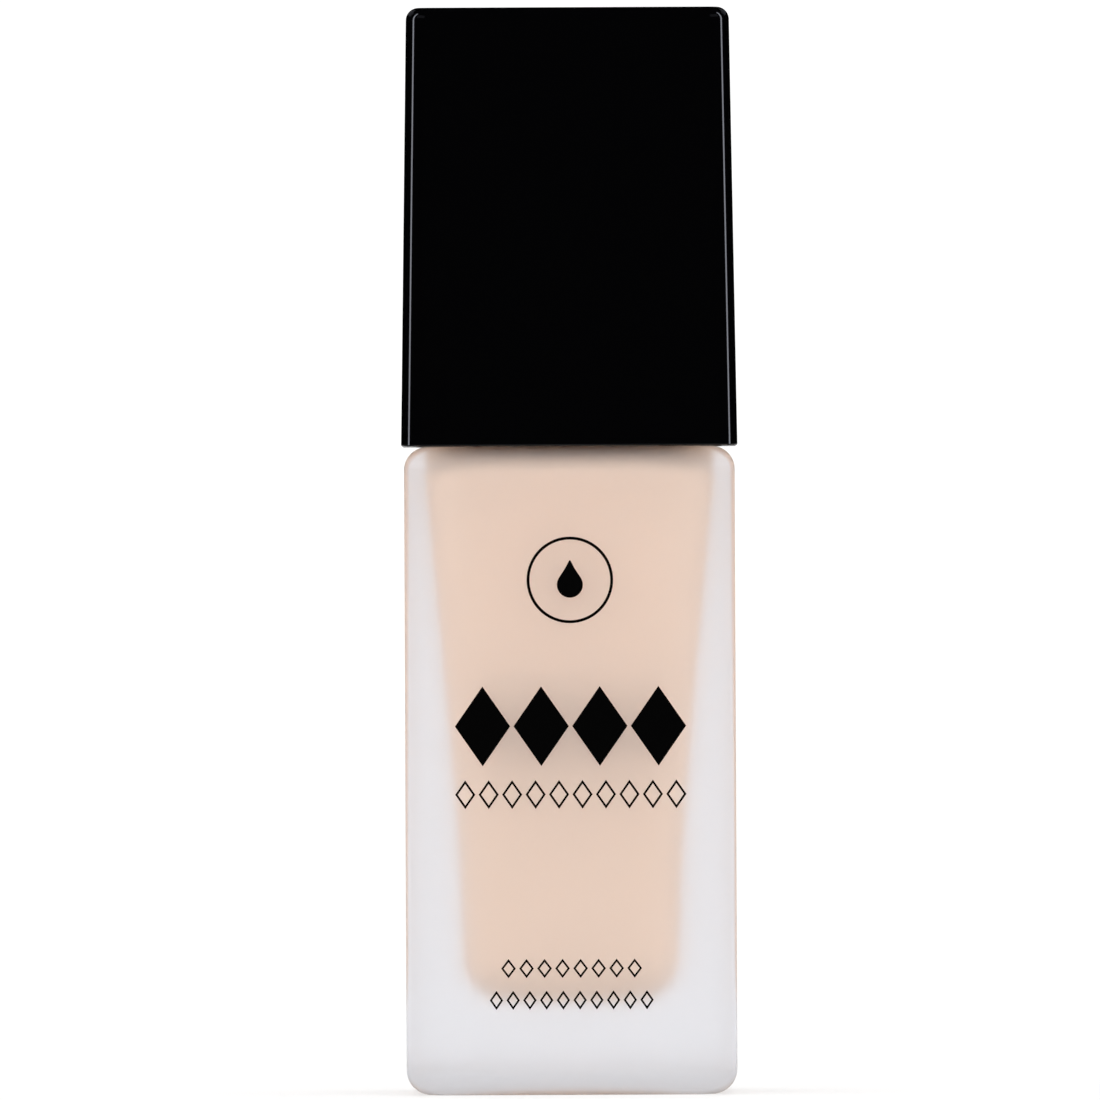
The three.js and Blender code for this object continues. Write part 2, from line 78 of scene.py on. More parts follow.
def high(node):
    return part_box(node)[1] / MM


BODY_HALF = high("glass_bottle").x
NECK_TOP = high("glass_bottle").z
BODY_HEIGHT = 67.5
BODY_CORNER = 0.6
CORNER_GROWTH = 0.8
SHOULDER_ROUND = 2.4
SHOULDER_FLAT_HALF = 13.2
SHOULDER_FLAT_CORNER = 5.0
BASE_ROUND = 2.7
BASE_RIM_CORNER = 3.2
RECESS_HALF = 11.5
RECESS_FLAT_HALF = 6.0
RECESS_DEPTH = 0.6
RECESS_CORNER = 3.0

NECK_RADIUS = 8.75
NECK_BORE = 6.0
NECK_FOOT_RADIUS = 11.4
NECK_FOOT_ROUND = 1
LIP_OUTER_ROUND = 0.6
LIP_INNER_ROUND = 0.5
THROAT_ROUND = 0.8
THREAD_PITCH = 3.0
THREAD_TURNS = 1.6
THREAD_START = 71.6
THREAD_HEIGHT = 1.05
THREAD_HALF_WIDTH = 0.8
THREAD_RUN_OUT = 0.15

CAVITY_FLOOR = 9.5
CAVITY_FLOOR_HALF = 3.0
CAVITY_FLOOR_ROUND = 4.6
CAVITY_TOP = 66.0
CAVITY_CORNER = 7.0
CEILING_HALF = 10.5
CEILING_CORNER = 6.5
CAVITY_SIDE = [(11.3, 14.1), (11.75, 25.6), (12.95, 41.0), (13.9, 51.6), (15.1, 64.6)]
LIQUID_SINK = 0.05
PUMP_GAP = 0.3
HOUSING_BARREL_RADIUS = 4.7
HOUSING_TAIL_RADIUS = 2.7
HOUSING_TAIL_LENGTH = 8
HOUSING_CONE_HEIGHT = 5

MOUTH_DROP = 0.2
MOUTH_LEVEL = low("overcap_shell").z - MOUTH_DROP
CAP_TOP = high("overcap_shell").z
CAP_HALF_MOUTH = high("overcap_shell").x
CAP_HALF_TOP = 16.8
CAP_CORNER = 2.4
CAP_TOP_ROUND = 1.3
CAP_WALL = 1.5

ARC_STEPS = 12
FLAT_STEPS = 10
QUARTER = ARC_STEPS + FLAT_STEPS
COLUMNS = 4 * QUARTER
EASE_SHARE = 0.49


# ---- Mesh helpers ----


def arc(centre_x, centre_y, radius, start, end, steps):
    """Points of an arc in a profile, angles in degrees."""
    angles = [math.radians(start + (end - start) * i / steps) for i in range(steps + 1)]
    return [(centre_x + radius * math.cos(a), centre_y + radius * math.sin(a)) for a in angles]


def rounded(corners, closed=False, steps=5):
    """A profile whose (x, y, ease) corners are cut by curves, which start and end that far from the corner.

    A curve takes at most EASE_SHARE of the edge on each side, so that two curves never meet.
    """
    points = []
    count = len(corners)
    for i, (x, y, ease) in enumerate(corners):
        if ease == 0 or (not closed and i in (0, count - 1)):
            points.append((x, y))
            continue
        here = Vector((x, y))
        before = Vector(corners[i - 1][:2])
        after = Vector(corners[(i + 1) % count][:2])
        start = here + (before - here).normalized() * min(ease, (before - here).length * EASE_SHARE)
        end = here + (after - here).normalized() * min(ease, (after - here).length * EASE_SHARE)
        for step in range(steps + 1):
            t = step / steps
            point = start * (1 - t) ** 2 + here * 2 * t * (1 - t) + end * t**2
            points.append((point.x, point.y))
    return points


def square_point(column, half, corner):
    """A point of a rounded square, counter-clockwise from the end of the front face."""
    quarter, step = divmod(column, QUARTER)
    turn = math.pi / 2 * quarter
    if step <= ARC_STEPS:
        angle = -math.pi / 2 + math.pi / 2 * step / ARC_STEPS
        x = half - corner + corner * math.cos(angle)
        y = -(half - corner) + corner * math.sin(angle)
    else:
        x = half
        y = -(half - corner) + 2 * (half - corner) * (step - ARC_STEPS) / FLAT_STEPS
    return Vector((x * math.cos(turn) - y * math.sin(turn), x * math.sin(turn) + y * math.cos(turn)))


def circle_points(radius):
    """A circle's points, each of which faces the same way as its column of a rounded square."""
    angles = [math.pi / 2 * ((column - ARC_STEPS / 2) / QUARTER - 0.5) for column in range(COLUMNS)]
    return [Vector((radius * math.cos(angle), radius * math.sin(angle))) for angle in angles]


def square_ring(half, z, corner):
    """One ring of a loft. A ring of no width is a single point."""
    if half == 0:
        return [Vector((0, 0, z))]
    corner = min(corner, half)
    return [square_point(column, half, corner).to_3d() + Vector((0, 0, z)) for column in range(COLUMNS)]


def round_ring(radius, z, swell=None):
    """One round ring of a loft, with swell(angle, z) added to its radius."""
    if radius == 0:
        return [Vector((0, 0, z))]
    ring = []
    for point in circle_points(radius):
        if swell:
            point *= 1 + swell(math.atan2(point.y, point.x), z) / radius
        ring.append(Vector((point.x, point.y, z)))
    return ring


def shade(obj):
    """Smooth faces whose normals lean to the large flat ones, so that flat sides stay flat."""
    obj.data.polygons.foreach_set("use_smooth", [True] * len(obj.data.polygons))
    weighted = obj.modifiers.new("weighted_normals", "WEIGHTED_NORMAL")
    weighted.keep_sharp = True
    weighted.weight = 80


def object_from(name, points, faces):
    mesh = bpy.data.meshes.new(name)
    mesh.from_pydata([point * MM for point in points], [], faces)
    obj = bpy.data.objects.new(name, mesh)
    bpy.context.scene.collection.objects.link(obj)
    return obj


def loft(name, rings, loop=False):
    """A closed mesh through rings of points in millimetres. loop joins the last ring to the first."""
    points = [point for ring in rings for point in ring]
    starts = [0]
    for ring in rings:
        starts.append(starts[-1] + len(ring))
    faces = []
    pairs = list(zip(range(len(rings) - 1), range(1, len(rings))))
    if loop:
        pairs.append((len(rings) - 1, 0))
    for a, b in pairs:
        for column in range(COLUMNS):
            following = (column + 1) % COLUMNS
            lower = [starts[a] + column, starts[a] + following]
            upper = [starts[b] + following, starts[b] + column]
            if len(rings[a]) == 1:
                lower = [starts[a]]
            if len(rings[b]) == 1:
                upper = [starts[b]]
            faces.append(lower + upper)
    obj = object_from(name, points, faces)
    shade(obj)
    return obj


def lathe(name, profile, loop=False):
    return loft(name, [round_ring(radius, z) for radius, z in profile], loop)


def dress(obj, material, slot, body, *nodes):
    """Gives a finished piece its material and its body, and hides the CAD nodes that it stands for."""
    obj.data.materials.clear()
    obj.data.materials.append(material)
    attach(obj, body)
    if nodes:
        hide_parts(*nodes)


# ---- Material helpers ----

# Most of a noise texture's values lie between these
NOISE_LOW = 0.3
NOISE_HIGH = 0.7


def new_material(name, color, roughness, **sockets):
    """A Principled material. Sockets are named with _ for a space."""
    material = bpy.data.materials.new(name)
    material.use_nodes = True
    shader = material.node_tree.nodes["Principled BSDF"]
    shader.inputs["Base Color"].default_value = (*color, 1)
    shader.inputs["Roughness"].default_value = roughness
    for key, value in sockets.items():
        shader.inputs[key.replace("_", " ")].default_value = value
    return material


def noise(material, scale, detail=3, stretch=(1, 1, 1)):
    """A noise texture in the object's own space, with scale in cells to the metre."""
    nodes, links = material.node_tree.nodes, material.node_tree.links
    place = nodes.new("ShaderNodeTexCoord")
    mapping = nodes.new("ShaderNodeMapping")
    mapping.inputs["Scale"].default_value = stretch
    texture = nodes.new("ShaderNodeTexNoise")
    texture.inputs["Scale"].default_value = scale
    texture.inputs["Detail"].default_value = detail
    links.new(place.outputs["Object"], mapping.inputs["Vector"])
    links.new(mapping.outputs["Vector"], texture.inputs["Vector"])
    return texture


def vary_roughness(material, lowest, highest, scale):
    nodes, links = material.node_tree.nodes, material.node_tree.links
    spread = nodes.new("ShaderNodeMapRange")
    spread.inputs["From Min"].default_value = NOISE_LOW
    spread.inputs["From Max"].default_value = NOISE_HIGH
    spread.inputs["To Min"].default_value = lowest
    spread.inputs["To Max"].default_value = highest
    links.new(noise(material, scale).outputs["Fac"], spread.inputs["Value"])
    links.new(spread.outputs["Result"], nodes["Principled BSDF"].inputs["Roughness"])


def vary_color(material, dark, light, scale, stretch=(1, 1, 1)):
    nodes, links = material.node_tree.nodes, material.node_tree.links
    ramp = nodes.new("ShaderNodeValToRGB")
    ramp.color_ramp.elements[0].position = NOISE_LOW
    ramp.color_ramp.elements[0].color = (*dark, 1)
    ramp.color_ramp.elements[1].position = NOISE_HIGH
    ramp.color_ramp.elements[1].color = (*light, 1)
    links.new(noise(material, scale, 4, stretch).outputs["Fac"], ramp.inputs["Fac"])
    links.new(ramp.outputs["Color"], nodes["Principled BSDF"].inputs["Base Color"])


def add_bump(material, scale, strength, depth, stretch=(1, 1, 1)):
    """A fine raised grain. depth is its height in metres."""
    nodes, links = material.node_tree.nodes, material.node_tree.links
    bump = nodes.new("ShaderNodeBump")
    bump.inputs["Strength"].default_value = strength
    bump.inputs["Distance"].default_value = depth
    links.new(noise(material, scale, 3, stretch).outputs["Fac"], bump.inputs["Height"])
    links.new(bump.outputs["Normal"], nodes["Principled BSDF"].inputs["Normal"])


def frosted_glass():
    material = new_material("frosted_glass", (0.905, 0.91, 0.95), 0.4, Transmission_Weight=0.88, IOR=1.5)
    vary_roughness(material, 0.37, 0.43, 900)
    add_bump(material, 5200, 0.12, 0.00003)
    return material


def foundation_cream():
    material = new_material("foundation_cream", (0.96, 0.695, 0.503), 0.35, IOR=1.4)
    vary_color(material, (0.955, 0.69, 0.498), (0.965, 0.7, 0.508), 60)
    return material


def gloss_black():
    material = new_material("gloss_black", (0.0006, 0.0006, 0.0008), 0.055, Specular_IOR_Level=0.4)
    vary_roughness(material, 0.05, 0.06, 400)
    return material


def satin_black():
    material = new_material("satin_black", (0.012, 0.012, 0.013), 0.4)
    vary_roughness(material, 0.34, 0.46, 500)
    add_bump(material, 2600, 0.25, 0.00004)
    return material


def natural_plastic():
    material = new_material("natural_plastic", (0.8, 0.8, 0.77), 0.42, Subsurface_Weight=0.25)
    vary_color(material, (0.78, 0.78, 0.745), (0.84, 0.84, 0.81), 220)
    add_bump(material, 1800, 0.15, 0.00003)
    return material


def piston_plastic():
    material = new_material("piston_plastic", (0.82, 0.85, 0.88), 0.5, Subsurface_Weight=0.3)
    vary_color(material, (0.8, 0.83, 0.86), (0.86, 0.88, 0.9), 300)
    return material


def tube_plastic():
    material = new_material("tube_plastic", (0.88, 0.9, 0.9), 0.25, Transmission_Weight=0.6, IOR=1.48)
    add_bump(material, 900, 0.12, 0.00004, (1, 1, 0.05))
    return material


def seal_elastomer():
    material = new_material("seal_elastomer", (0.7, 0.7, 0.67), 0.75)
    vary_color(material, (0.66, 0.66, 0.63), (0.74, 0.74, 0.71), 700)
    add_bump(material, 3200, 0.3, 0.00003)
    return material


def stainless_steel():
    material = new_material("stainless_steel", (0.62, 0.62, 0.64), 0.22, Metallic=1.0)
    vary_roughness(material, 0.16, 0.3, 1500)
    add_bump(material, 4000, 0.08, 0.00002, (1, 1, 0.1))
    return material


def label_paper():
    material = new_material("label_paper", (0.9, 0.89, 0.86), 0.6)
    vary_color(material, (0.88, 0.87, 0.84), (0.92, 0.91, 0.885), 2500, (1, 0.25, 1))
    add_bump(material, 3500, 0.2, 0.00002)
    return material


def printing_ink():
    material = new_material("printing_ink", (0.0008, 0.0008, 0.0008), 0.38, Specular_IOR_Level=0.02)
    vary_roughness(material, 0.3, 0.5, 1400)
    add_bump(material, 4500, 0.25, 0.00001)
    return material


# ---- Glass and liquid ----


def spline(points, steps):
    """A Catmull-Rom curve through the points, with steps to each stretch."""
    guides = [Vector(p) for p in points]
    first = guides[0] * 2 - guides[1]
    last = guides[-1] * 2 - guides[-2]
    guides = [first, *guides, last]
    curve = []
    for i in range(1, len(guides) - 2):
        p0, p1, p2, p3 = guides[i - 1 : i + 3]
        for step in range(steps):
            t = step / steps
            velocity = (p2 - p0) * t + (p0 * 2 - p1 * 5 + p2 * 4 - p3) * t**2
            curve.append((p1 * 2 + velocity + (p1 * 3 - p0 - p2 * 3 + p3) * t**3) / 2)
    curve.append(guides[-2])
    return [(p.x, p.y) for p in curve]


def cavity_side(outset, steps=6):
    return [(half + outset, z) for half, z in spline(CAVITY_SIDE, steps)]


def cavity_profile(outset, level):
    """Half section of the cavity from the middle of its floor to the edge of its flat top."""
    floor_half = CAVITY_SIDE[0][0]
    top_half, top_start = CAVITY_SIDE[-1]
    round_top = level - top_start
    floor_centre = CAVITY_FLOOR + CAVITY_FLOOR_ROUND
    floor_round = CAVITY_FLOOR_ROUND + outset
    return [
        (0, CAVITY_FLOOR - outset),
        (CAVITY_FLOOR_HALF, CAVITY_FLOOR - outset),
        *arc(floor_half - CAVITY_FLOOR_ROUND, floor_centre, floor_round, -90, 0, 10)[:-1],
        *cavity_side(outset),
        *arc(top_half + outset - round_top, level - round_top, round_top, 0, 90, 6)[1:],
    ]


def cavity_rings(outset, level):
    """From the middle of the floor, up the tapered side and in over the ceiling."""
    rings = [square_ring(half, z, CAVITY_CORNER) for half, z in cavity_profile(outset, level)]
    return [*rings, square_ring(CEILING_HALF, level, CEILING_CORNER)]


def thread_swell(angle, z):
    """Height of the neck's round thread above the neck at that place."""
    turn = (angle % (2 * math.pi)) / (2 * math.pi)
    swell = 0.0
    for whole in range(math.ceil(THREAD_TURNS)):
        along = whole + turn
        if along <= THREAD_TURNS:
            off = (z - THREAD_START - along * THREAD_PITCH) / THREAD_HALF_WIDTH
            run_out = min(1.0, along / THREAD_RUN_OUT, (THREAD_TURNS - along) / THREAD_RUN_OUT)
            if abs(off) < 1:
                swell = max(swell, THREAD_HEIGHT * run_out * math.sqrt(1 - off**2))
    return swell


def body_corner(half):
    """The upright edges are crisp, and their rounds grow where the body turns into its base and shoulder."""
    return BODY_CORNER + CORNER_GROWTH * (BODY_HALF - half)


def base_rings():
    """From the middle of the recess under the base out to the foot of the walls."""
    ease_run, ease_rise, lean = 0.4, 0.15, 0.1
    base_half = BODY_HALF - BASE_ROUND
    rings = [
        square_ring(0, RECESS_DEPTH, 0),
        square_ring(RECESS_FLAT_HALF, RECESS_DEPTH, RECESS_CORNER),
        square_ring(RECESS_HALF - ease_run, RECESS_DEPTH, RECESS_CORNER - ease_run),
        square_ring(RECESS_HALF - lean, RECESS_DEPTH - ease_rise, RECESS_CORNER - lean),
        square_ring(RECESS_HALF + lean, ease_rise, RECESS_CORNER),
        square_ring(RECESS_HALF + ease_run, 0, RECESS_CORNER),
        square_ring((RECESS_HALF + base_half) / 2, 0, BASE_RIM_CORNER),
    ]
    for half, z in arc(base_half, BASE_ROUND, BASE_ROUND, -90, 0, 10):
        rings.append(square_ring(half, z, body_corner(half)))
    return rings


def wall_rings():
    """Up the flat walls and over the shoulder to the foot of the neck."""
    shoulder_start = BODY_HEIGHT - SHOULDER_ROUND
    rings = []
    for share in (0.02, 0.25, 0.5, 0.75, 0.98):
        z = BASE_ROUND + share * (shoulder_start - BASE_ROUND)
        rings.append(square_ring(BODY_HALF, z, BODY_CORNER))
    for half, z in arc(BODY_HALF - SHOULDER_ROUND, shoulder_start, SHOULDER_ROUND, 0, 90, 10):
        rings.append(square_ring(half, z, body_corner(half)))
    rings.append(square_ring(SHOULDER_FLAT_HALF, BODY_HEIGHT, SHOULDER_FLAT_CORNER))
    rings.append(round_ring(NECK_FOOT_RADIUS, BODY_HEIGHT))
    return rings


def neck_rings():
    """Up the threaded neck, over the lip and down the bore to the cavity's ceiling."""
    foot, outer, inner, throat = NECK_FOOT_ROUND, LIP_OUTER_ROUND, LIP_INNER_ROUND, THROAT_ROUND
    rows, foot_margin, lip_margin = 64, 1.2, 0.9
    start = BODY_HEIGHT + foot_margin
    end = NECK_TOP - lip_margin
    below = arc(NECK_RADIUS + foot, BODY_HEIGHT + foot, foot, -90, -180, 5)
    threaded = [start + (end - start) * row / rows for row in range(rows + 1)]
    above = [
        *arc(NECK_RADIUS - outer, NECK_TOP - outer, outer, 0, 90, 4),
        *arc(NECK_BORE + inner, NECK_TOP - inner, inner, 90, 180, 4),
        *arc(NECK_BORE + throat, CAVITY_TOP + throat, throat, 180, 270, 4),
    ]
    return [
        *(round_ring(radius, z) for radius, z in below),
        *(round_ring(NECK_RADIUS, z, thread_swell) for z in threaded),
        *(round_ring(radius, z) for radius, z in above),
    ]


def glass_bottle():
    """One skin: under the base, up the outside, over the lip, and down the bore to the cavity's floor."""
    cavity = reversed(cavity_rings(0, CAVITY_TOP))
    return loft("frosted_bottle", [*base_rings(), *wall_rings(), *neck_rings(), *cavity])


def liquid():
    """The cream fills the cavity, and leaves room for the pump and its tube."""
    level = CAVITY_TOP + LIQUID_SINK
    barrel = HOUSING_BARREL_RADIUS + PUMP_GAP
    tail = HOUSING_TAIL_RADIUS + PUMP_GAP
    tail_bottom = low("pump_housing").z - PUMP_GAP
    tail_top = tail_bottom + HOUSING_TAIL_LENGTH
    tube = high("dip_tube").x + PUMP_GAP
    tube_bottom = low("dip_tube").z - PUMP_GAP
    tube_rows = (tail_bottom, 40.0, 25.0, tube_bottom)
    inner = [
        (barrel, level),
        (barrel, tail_top + HOUSING_CONE_HEIGHT),
        (tail, tail_top),
        (tail, tail_bottom),
        *((tube, z) for z in tube_rows),
        (0, tube_bottom),
    ]
    rings = cavity_rings(LIQUID_SINK, level)
    rings.extend(round_ring(radius, z) for radius, z in inner)
    return loft("foundation_cream", rings)


# ---- Overcap ----


def cap_half(z):
    share = (z - MOUTH_LEVEL) / (CAP_TOP - MOUTH_LEVEL)
    return CAP_HALF_MOUTH + (CAP_HALF_TOP - CAP_HALF_MOUTH) * share


def overcap():
    """One skin: from the middle of the ceiling down the inside, round the mouth and up to the top."""
    ceiling = CAP_TOP - CAP_WALL
    side_top = CAP_TOP - CAP_TOP_ROUND
    mouth_edge, ceiling_ease = 0.15, 0.3
    flat_half = 8.0
    inner_corner, top_corner = CAP_CORNER - CAP_WALL, 0.9
    side_rows = 12
    inside = [
        (flat_half, ceiling),
        (cap_half(ceiling) - CAP_WALL - ceiling_ease, ceiling),
        (cap_half(ceiling) - CAP_WALL, ceiling - ceiling_ease),
        (CAP_HALF_MOUTH - CAP_WALL, MOUTH_LEVEL + mouth_edge),
        (CAP_HALF_MOUTH - CAP_WALL + mouth_edge, MOUTH_LEVEL),
    ]
    rings = [square_ring(0, ceiling, 0)]
    rings.extend(square_ring(half, z, inner_corner) for half, z in inside)
    for half, z in arc(CAP_HALF_MOUTH - mouth_edge, MOUTH_LEVEL + mouth_edge, mouth_edge, -90, 0, 4):
        rings.append(square_ring(half, z, CAP_CORNER))
    for row in range(1, side_rows):
        z = MOUTH_LEVEL + mouth_edge + (side_top - MOUTH_LEVEL - mouth_edge) * row / side_rows
        rings.append(square_ring(cap_half(z), z, CAP_CORNER))
    for half, z in arc(cap_half(side_top) - CAP_TOP_ROUND, side_top, CAP_TOP_ROUND, 0, 90, 12):
        corner = max(CAP_CORNER - (cap_half(side_top) - half), top_corner)
        rings.append(square_ring(half, z, corner))
    rings.append(square_ring(flat_half, CAP_TOP, top_corner))
    rings.append(square_ring(0, CAP_TOP, 0))
    return loft("overcap", rings)


# ---- Pump head ----

SPOUT_LEVEL = 11.4


def closure_sleeve():
    bottom, top = low("closure_sleeve").z, high("closure_sleeve").z
    outer, inner, lip = high("closure_sleeve").x, 11.2, 9.5
    lip_thickness = 0.7
    corners = [
        (inner, bottom, 0.2),
        (outer, bottom, 0.3),
        (outer, top, 0.9),
        (lip, top, 0.3),
        (lip, top - lip_thickness, 0.1),
        (inner, top - lip_thickness, 0.1),
    ]
    return lathe("closure_sleeve_skin", rounded(corners, closed=True), loop=True)


def lie_down(obj, level):
    """Turns a lathe so that its axis points to -Y at that level."""
    for vertex in obj.data.vertices:
        x, y, z = vertex.co
        vertex.co = (x, -z, y + level * MM)


def actuator_cup():
    """The push button: a thin-walled cup with a dished top."""
    bottom, top = low("actuator_shell").z, high("actuator_shell").z
    outer, wall, lid = high("actuator_shell").x, 1.2, 2
    rim_width, rim_fall = 3.2, 0.1
    dish_radius, dish_fall, middle_fall = 3.5, 0.65, 0.7
    rows = 8
    side = [(outer, bottom + (top - bottom) * row / rows, 0) for row in range(1, rows)]
    corners = [
        (0, top - lid, 0),
        (outer - wall, top - lid, 0.4),
        (outer - wall, bottom, 0.3),
        (outer, bottom, 0.3),
        *side,
        (outer, top, 2.2),
        (outer - rim_width, top - rim_fall, 1.2),
        (dish_radius, top - dish_fall, 2.5),
        (0, top - middle_fall, 0),
    ]
    return lathe("actuator_skin", rounded(corners, steps=8))


def spout():
    """A short tube that flares into the cup's round side, with a bore for the nozzle."""
    cup_radius, reach = high("actuator_shell").x, -low("actuator_shell").y
    level = low("actuator_shell").z + SPOUT_LEVEL
    root, neck, tip, bore = 3.75, 2.85, 2.5, 2.05
    tip_round, bore_edge, bore_end = 0.3, 0.1, 6.5
    inside_cup = -0.15
    flare = rounded([(root, 0, 0), (neck, 0, 1.2), (tip, 1, 0)], steps=6)
    rings = []
    for radius, share in [(root, inside_cup), *flare]:
        ring = []
        for point in circle_points(radius):
            side = math.sqrt(cup_radius**2 - point.x**2)
            depth = side + (reach - tip_round - side) * share
            ring.append(Vector((point.x, -depth, level + point.y)))
        rings.append(ring)
    end = [
        *arc(tip - tip_round, reach - tip_round, tip_round, 15, 90, 4),
        (bore + bore_edge, reach),
        (bore, reach - bore_edge),
        (bore, bore_end),
    ]
    for radius, depth in end:
        rings.append([Vector((point.x, -depth, level + point.y)) for point in circle_points(radius)])
    return loft("actuator_spout", rings, loop=True)


def nozzle():
    back, front = -high("nozzle_insert").y, -low("nozzle_insert").y
    hole, outer, front_radius, chamfer = 0.6, 1.9, 1.6, 0.3
    corners = [
        (hole, back, 0),
        (outer, back, 0.1),
        (outer, front - chamfer, 0.15),
        (front_radius, front, 0.2),
        (hole, front, 0.15),
    ]
    obj = lathe("nozzle_bush", rounded(corners, closed=True), loop=True)
    lie_down(obj, (low("nozzle_insert").z + high("nozzle_insert").z) / 2)
    return obj


# ---- Turned pieces inside the pump ----

EDGE_EASE = 0.12
EDGE_STEPS = 3
BALL_ROWS = 32
SAME_PLACE = 1e-6
TURNED_NODES = {
    "neck_gasket": "pump",
    "pump_housing": "pump",
    "housing_cap": "pump",
    "turret_seal": "pump",
    "dip_tube": "pump",
    "piston": "piston",
    "stem": "stem",
}


def column_profile(node):
    """The half section of a turned CAD piece, along one column of its corners, and whether it is a ring."""
    bm = bmesh.new()
    bm.from_mesh(NODES[node].data)
    bmesh.ops.remove_doubles(bm, verts=bm.verts[:], dist=SAME_PLACE)
    bm.verts.index_update()
    widest = max(bm.verts, key=lambda vertex: (round(vertex.co.xy.length, 6), vertex.index)).co.xy
    side = Vector((-widest.y, widest.x)).normalized()
    column = [
        vertex
        for vertex in bm.verts
        if abs(vertex.co.xy.dot(side)) < SAME_PLACE and vertex.co.xy.dot(widest) > -SAME_PLACE
    ]
    members = {vertex.index for vertex in column}

    def beside(vertex):
        others = [edge.other_vert(vertex) for edge in vertex.link_edges]
        return [other for other in others if other.index in members]

    ends = [vertex for vertex in column if len(beside(vertex)) == 1]
    path = [min(ends or column, key=lambda vertex: (vertex.co.z, vertex.index))]
    while following := [other for other in beside(path[-1]) if other not in path]:
        path.append(following[0])
    profile = [(vertex.co.xy.length / MM, vertex.co.z / MM) for vertex in path]
    bm.free()
    pairs = zip(profile, profile[1:] + profile[:1])
    if sum(r0 * z1 - r1 * z0 for (r0, z0), (r1, z1) in pairs) < 0:
        profile.reverse()
    return profile, not ends


def turned(node):
    """The same piece with many more facets and eased edges."""
    profile, is_ring = column_profile(node)
    corners = [(radius, z, EDGE_EASE) for radius, z in profile]
    return lathe(f"{node}_turned", rounded(corners, closed=is_ring, steps=EDGE_STEPS), loop=is_ring)


def valve_ball():
    centre = (low("inlet_ball").z + high("inlet_ball").z) / 2
    radius = high("inlet_ball").z - centre
    middle = arc(0, centre, radius, -90, 90, BALL_ROWS)[1:-1]
    return lathe("valve_ball", [(0, centre - radius), *middle, (0, centre + radius)])


# ---- Return spring ----


def coil_height(turn, turns, travel, closed_pitch):
    """Height along a coil of that many turns, whose first and last turns are wound at closed_pitch."""
    open_pitch = (travel - 2 * closed_pitch) / (turns - 2)
    ends = closed_pitch * (min(turn, 1) + max(turn - turns + 1, 0))
    return ends + open_pitch * min(max(turn - 1, 0), turns - 2)


def wire_along(name, path, radius, sides=10):
    """A round wire along a path that turns about Z, with flat ends."""
    points = []
    for i, here in enumerate(path):
        along = (path[min(i + 1, len(path) - 1)] - path[max(i - 1, 0)]).normalized()
        across = along.cross(Vector((here.x, here.y, 0))).normalized()
        outward = across.cross(along)
        for side in range(sides):
            angle = 2 * math.pi * side / sides
            points.append(here + (outward * math.cos(angle) + across * math.sin(angle)) * radius)
    faces = [tuple(reversed(range(sides))), tuple(range(len(points) - sides, len(points)))]
    for start in range(0, len(points) - sides, sides):
        for side in range(sides):
            following = (side + 1) % sides
            near = (start + side, start + following)
            far = (start + sides + following, start + sides + side)
            faces.append(near + far)
    obj = object_from(name, points, faces)
    shade(obj)
    return obj


def return_spring():
    wire, turns, steps_per_turn = 0.3, 6, 32
    closed_pitch = 2.1 * wire
    bottom, top = low("return_spring").z + wire, high("return_spring").z - wire
    radius = high("return_spring").x - wire
    path = []
    for step in range(turns * steps_per_turn + 1):
        turn = step / steps_per_turn
        angle = 2 * math.pi * turn
        z = bottom + coil_height(turn, turns, top - bottom, closed_pitch)
        path.append(Vector((radius * math.cos(angle), radius * math.sin(angle), z)))
    return wire_along("return_coil", path, wire)


def press_spring(spring):
    """Gives the coil a mesh of its own."""
    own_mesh(spring)


# ---- Printed front: plain ornament only ----

INK_THICK = 0.03
INK_SUNK = 0.01
INK_FACE = -BODY_HALF


def ink_piece(name, outlines):
    """Raised shapes on the front face. Each is a list of (x, z) loops: first its edge, then its holes."""
    bm = bmesh.new()
    for loops in outlines:
        edges = []
        for loop_points in loops:
            points = [bm.verts.new((x * MM, (INK_FACE + INK_SUNK) * MM, z * MM)) for x, z in loop_points]
            edges += [bm.edges.new((points[i - 1], points[i])) for i in range(len(points))]
        bmesh.ops.triangle_fill(bm, edges=edges, use_beauty=True)
    sheet = bm.faces[:]
    raised = bmesh.ops.extrude_face_region(bm, geom=sheet)
    moved = [item for item in raised["geom"] if isinstance(item, bmesh.types.BMVert)]
    bmesh.ops.translate(bm, verts=moved, vec=(0, -(INK_THICK + INK_SUNK) * MM, 0))
    bmesh.ops.recalc_face_normals(bm, faces=bm.faces[:])
    mesh = bpy.data.meshes.new(name)
    bm.to_mesh(mesh)
    bm.free()
    obj = bpy.data.objects.new(name, mesh)
    bpy.context.scene.collection.objects.link(obj)
    return obj


def diamond(x, z, half_width, half_height):
    return [(x - half_width, z), (x, z - half_height), (x + half_width, z), (x, z + half_height)]


def diamond_row(name, z, count, width, height, line=None, gap=0.35):
    """A centred row of diamonds, solid or drawn with a line."""
    pitch = width / count
    half_width = (pitch - gap) / 2
    outlines = []
    for i in range(count):
        x = (i - (count - 1) / 2) * pitch
        loops = [diamond(x, z, half_width, height / 2)]
        if line:
            shrink = 1 - line * math.hypot(half_width, height / 2) / (half_width * height / 2)
            loops.append(diamond(x, z, half_width * shrink, height / 2 * shrink))
        outlines.append(loops)
    return ink_piece(name, outlines)


def circle(x, z, radius, steps=72):
    angles = [2 * math.pi * i / steps for i in range(steps)]
    return [(x + radius * math.cos(a), z + radius * math.sin(a)) for a in angles]


